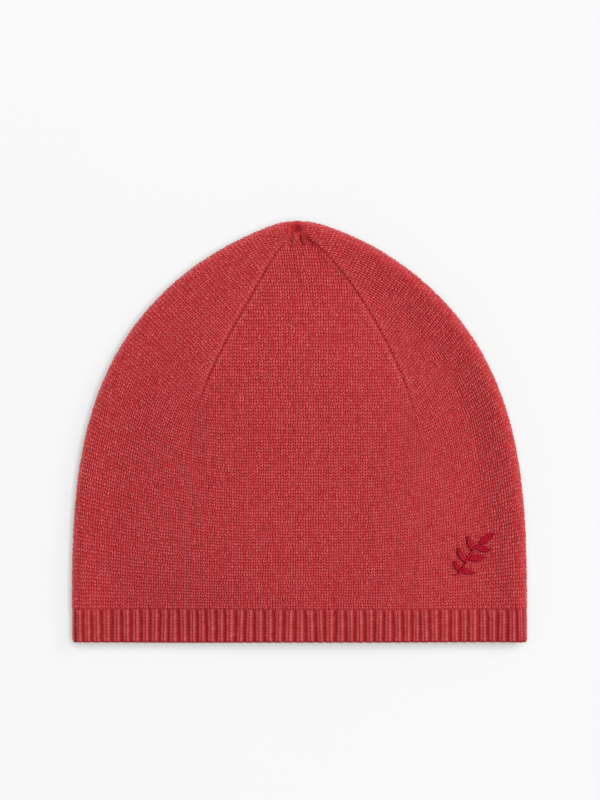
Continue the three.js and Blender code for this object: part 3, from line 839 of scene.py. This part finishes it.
def fuzz():
    """Loose fibres of the wool, most of them where the cloth folds over. Each is a slim closed pyramid."""
    rng = np.random.default_rng(61)
    roots, tips = [], []
    for gore in (FRONT, RIGHT, BACK, LEFT):
        tries = FUZZ_TRIES // 4
        k = rng.uniform(-HALF_WALES, HALF_WALES, tries)
        q = rng.uniform(FUZZ_FROM_TIP, FRONT_LINE - FUZZ_FROM_EDGE, tries)
        low, high = gore_limits(gore, q)
        inside = (k > low) & (k < high)
        k, q, low, high = k[inside], q[inside], low[inside], high[inside]
        base, normal = on_face(gore, k, q), outward(gore, k, q, low, high)
        chance = FUZZ_PLAIN + (FUZZ_RIM - FUZZ_PLAIN) * bell(normal[:, 2], FUZZ_RIM_REACH)
        chance = np.where(base[:, 2] < 2 * WALL, 0, chance)
        kept = rng.uniform(0, 1, len(k)) < chance
        base, normal = base[kept], normal[kept]
        side = unit(np.cross(normal, rng.normal(0, 1, base.shape)))
        rise = rng.uniform(*FIBRE_RISE, (len(base), 1)) ** FIBRE_RISE_CURVE
        roots.append(base - normal * FIBRE_ROOT)
        tips.append(base + normal * rise + side * rng.uniform(*FIBRE_LIE, (len(base), 1)))
    root, tip = np.concatenate(roots), np.concatenate(tips)
    along = unit(tip - root)
    first = unit(np.cross(along, np.array([0.3, 0.5, 0.8])))
    second = np.cross(along, first)
    angles = (0, math.tau / 3, 2 * math.tau / 3)
    ring = [root + FIBRE_RADIUS * (math.cos(a) * first + math.sin(a) * second) for a in angles]
    points = np.stack(ring + [tip], 1).reshape(-1, 3)
    n = np.arange(len(root))[:, None] * 4
    tris = np.concatenate([n + np.array(t) for t in ((0, 1, 3), (1, 2, 3), (2, 0, 3), (2, 1, 0))])
    tone = np.repeat(rng.normal(0, 1, len(root)), 4)
    uv = np.stack([np.repeat(rng.uniform(0, 1, len(root)), 4), np.tile([0, 0, 0, 1.0], len(root))], -1)
    no_quads = np.empty((0, 4), int)
    return build("wool_fuzz", points, no_quads, tris, uv, {"tone": tone, "painted_shading": np.ones(len(points))})


# Materials

# The colour's place between dark and light: its base, and what each of its causes adds, painted light and
# shade among them
CREST_BASE, TONE_WEIGHT, PAINTED_SHADING_WEIGHT, FIBRE_WEIGHT = 0.04, 0.05, 0.72, 0.5


def nodes_of(name):
    """A new material and its empty node tree."""
    material = bpy.data.materials.new(name)
    material.use_nodes = True
    tree = material.node_tree
    tree.nodes.clear()
    return material, tree


def add(tree, kind, inputs=None, **settings):
    """A new node. Its inputs go by their names or numbers."""
    node = tree.nodes.new(kind)
    for key, value in settings.items():
        setattr(node, key, value)
    for key, value in (inputs or {}).items():
        node.inputs[key].default_value = value
    return node


def surface(tree, looks):
    """A surface shader with the given looks, joined to the material's output."""
    shader = add(tree, "ShaderNodeBsdfPrincipled", looks)
    out = add(tree, "ShaderNodeOutputMaterial")
    tree.links.new(shader.outputs[0], out.inputs[0])
    return shader


def ramp(tree, stops):
    """A colour ramp with the given positions and colours."""
    node = add(tree, "ShaderNodeValToRGB")
    elements = node.color_ramp.elements
    while len(elements) < len(stops):
        elements.new(0.5)
    for element, (position, colour) in zip(elements, stops):
        element.position = position
        element.color = (*colour, 1)
    return node


def wool(name, dark, mid, light, sheen):
    """Melange wool: the yarn's own lighter and darker fibres, with painted shade down between the stitches and
    painted light on their crests.
    """
    material, tree = nodes_of(name)
    link = tree.links.new
    where = add(tree, "ShaderNodeTexCoord")
    fibres = add(tree, "ShaderNodeTexNoise", {"Scale": 1700, "Detail": 3})
    link(where.outputs["Object"], fibres.inputs["Vector"])

    # The fibres' noise varies about a half, so half of its weight is taken off first.
    tone = add(tree, "ShaderNodeAttribute", attribute_name="tone")
    painted_shading = add(tree, "ShaderNodeAttribute", attribute_name="painted_shading")
    total = add(tree, "ShaderNodeValue")
    total.outputs[0].default_value = CREST_BASE - FIBRE_WEIGHT / 2
    # The painted shading lightens the yarn on the stitches' crests and darkens it down between them, as light
    # and shade would.
    for source, weight in ((tone, TONE_WEIGHT), (painted_shading, PAINTED_SHADING_WEIGHT), (fibres, FIBRE_WEIGHT)):
        summed = add(tree, "ShaderNodeMath", {1: weight}, operation="MULTIPLY_ADD")
        link(source.outputs["Fac"], summed.inputs[0])
        link(total.outputs[0], summed.inputs[2])
        total = summed
    colours = ramp(tree, [(0.0, dark), (0.5, mid), (1.0, light)])
    link(total.outputs[0], colours.inputs[0])

    bump = add(tree, "ShaderNodeBump", {"Strength": 0.5, "Distance": 0.00025})
    link(fibres.outputs["Fac"], bump.inputs["Height"])
    looks = {
        "Roughness": 0.95,
        "Specular IOR Level": 0.1,
        "Sheen Weight": sheen,
        "Sheen Roughness": 0.25,
        "Sheen Tint": (1.0, 0.8, 0.78, 1),
    }
    shader = surface(tree, looks)
    link(colours.outputs["Color"], shader.inputs["Base Color"])
    link(bump.outputs["Normal"], shader.inputs["Normal"])
    return material


def satin():
    """Shiny dark red thread, with painted shade down between the threads and at a pad's edges."""
    material, tree = nodes_of("satin_thread")
    link = tree.links.new
    strand = add(tree, "ShaderNodeAttribute", attribute_name="painted_shading")
    noise = add(tree, "ShaderNodeTexNoise", {"Scale": 1200})
    mixed = add(tree, "ShaderNodeMath", {1: 0.5}, operation="MULTIPLY_ADD")
    link(strand.outputs["Fac"], mixed.inputs[0])
    link(noise.outputs["Fac"], mixed.inputs[2])
    colours = ramp(tree, [(0.22, (0.1, 0.0, 0.002)), (0.92, (0.47, 0.001, 0.02))])
    link(mixed.outputs[0], colours.inputs[0])
    shader = surface(tree, {"Roughness": 0.32, "Specular IOR Level": 0.14})
    link(colours.outputs["Color"], shader.inputs["Base Color"])
    return material


# Pieces

jersey_wool = wool("jersey_wool", (0.26, 0.006, 0.008), (0.5, 0.047, 0.052), (0.66, 0.14, 0.145), 0.85)
rib_wool = wool("rib_wool", (0.27, 0.012, 0.013), (0.44, 0.052, 0.055), (0.56, 0.15, 0.153), 0.7)
# Name, place and random seed
GORES = (
    ("front_gore", FRONT, 11),
    ("right_gore", RIGHT, 12),
    ("back_gore", BACK, 13),
    ("left_gore", LEFT, 14),
)

for name, gore, seed in GORES:
    piece = crown_gore(name, gore, seed)
    piece.data.materials.append(jersey_wool)
    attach(piece, "root")
    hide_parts("crown")

hem = rib_hem()
hem.data.materials.append(rib_wool)
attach(hem, "root")
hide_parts("rib_hem")

embroidery = sprig()
embroidery.data.materials.append(satin())
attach(embroidery, "root")
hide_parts("embroidered_sprig")

loose = fuzz()
loose.data.materials.append(wool("loose_wool", (0.5, 0.1, 0.1), (0.66, 0.23, 0.22), (0.8, 0.4, 0.38), 0.5))
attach(loose, "root")


# Floor, light and camera, in metres

FLOOR_HALF, FLOOR_Z = 6.0, -0.0001
FLOOR_GLOW = 0.785
PAINTED_SHADOW_REACH = 0.0055  # how far the painted shadow beside the beanie spreads over the floor
# The painted shadow's occlusion looks this way, towards the key light.
TOWARDS_LIGHT = (0.6, 0.45, 0.66)
# The world's glow near its horizon and above, and how far up the glow starts and ends to change
WALL_GLOW, CEILING_GLOW, WALL_FOOT, WALL_TOP = 1.2, 0.55, 0.1, 0.3
# Name, place, size and power. The edge light is low, so that it lights only the rolled left side.
LIGHTS = (
    ("key", (1.3, 0.7, 1.5), 0.9, 36),
    ("fill", (-0.6, -0.2, 2.0), 1.6, 7),
    ("edge", (-1.4, 0.55, 0.06), 0.12, 11),
)
LENS, SENSOR = 180, 36  # millimetres
FRAME_HEIGHT = 0.4123  # what the picture's height spans on the beanie
EYE_X, EYE_Y = 0.0003, 0.0162
FOCUS_Z = 0.0065  # the height of the beanie's outline


def pale_floor():
    """Off-white paper that glows evenly. Beside the beanie, on the sides away from the light, a narrow painted
    shadow dims its glow, over a faint real shade on its dim grey.
    """
    material, tree = nodes_of("pale_floor")
    link = tree.links.new
    grain = add(tree, "ShaderNodeTexNoise", {"Scale": 40})
    colours = ramp(tree, [(0.3, (0.125, 0.125, 0.125)), (0.7, (0.135, 0.135, 0.135))])
    link(grain.outputs["Fac"], colours.inputs[0])
    painted_shadow = add(tree, "ShaderNodeAmbientOcclusion", {"Distance": PAINTED_SHADOW_REACH}, samples=8)
    towards_light = add(tree, "ShaderNodeCombineXYZ", dict(enumerate(TOWARDS_LIGHT)))
    link(towards_light.outputs[0], painted_shadow.inputs["Normal"])
    # The floor's even glow, dimmed by the painted shadow.
    glow = add(tree, "ShaderNodeMath", {1: FLOOR_GLOW}, operation="MULTIPLY")
    link(painted_shadow.outputs["AO"], glow.inputs[0])
    shader = surface(tree, {"Roughness": 0.9, "Specular IOR Level": 0.0, "Emission Color": (1, 1, 1, 1)})
    link(colours.outputs["Color"], shader.inputs["Base Color"])
    link(glow.outputs[0], shader.inputs["Emission Strength"])
    return material


def soft_box():
    """A white world, brighter near the horizon than above, like the walls of a light tent."""
    world = bpy.data.worlds.new("studio")
    world.use_nodes = True
    tree = world.node_tree
    background = tree.nodes["Background"]
    background.inputs["Color"].default_value = (1, 1, 1, 1)
    around = add(tree, "ShaderNodeTexCoord")
    upward = add(tree, "ShaderNodeSeparateXYZ")
    band = {1: WALL_FOOT, 2: WALL_TOP, 3: WALL_GLOW, 4: CEILING_GLOW}
    walls = add(tree, "ShaderNodeMapRange", band)
    tree.links.new(around.outputs["Generated"], upward.inputs[0])
    tree.links.new(upward.outputs["Z"], walls.inputs[0])
    tree.links.new(walls.outputs[0], background.inputs["Strength"])
    return world


def area_light(name, spot, size, power):
    """A square light that looks at the origin."""
    light = bpy.data.lights.new(name, "AREA")
    light.shape = "SQUARE"
    light.size = size
    light.energy = power
    lamp = bpy.data.objects.new(name, light)
    lamp.location = spot
    lamp.rotation_euler = (-Vector(spot)).to_track_quat("-Z", "Y").to_euler()
    scene.collection.objects.link(lamp)


scene = bpy.context.scene
scene.view_settings.view_transform = "Standard"
scene.world = soft_box()

floor_mesh = bpy.data.meshes.new("floor")
floor_corners = [(x * FLOOR_HALF, y * FLOOR_HALF, FLOOR_Z) for x, y in ((-1, -1), (1, -1), (1, 1), (-1, 1))]
floor_mesh.from_pydata(floor_corners, [], [(0, 1, 2, 3)])
floor_mesh.materials.append(pale_floor())
floor = bpy.data.objects.new("floor", floor_mesh)
scene.collection.objects.link(floor)

for light_row in LIGHTS:
    area_light(*light_row)

camera = bpy.data.cameras.new("camera")
camera.lens = LENS
camera.sensor_width = SENSOR
camera.clip_end = 20
eye = bpy.data.objects.new("camera", camera)
eye.location = (EYE_X, EYE_Y, FOCUS_Z + FRAME_HEIGHT * LENS / SENSOR)
scene.collection.objects.link(eye)
scene.camera = eye
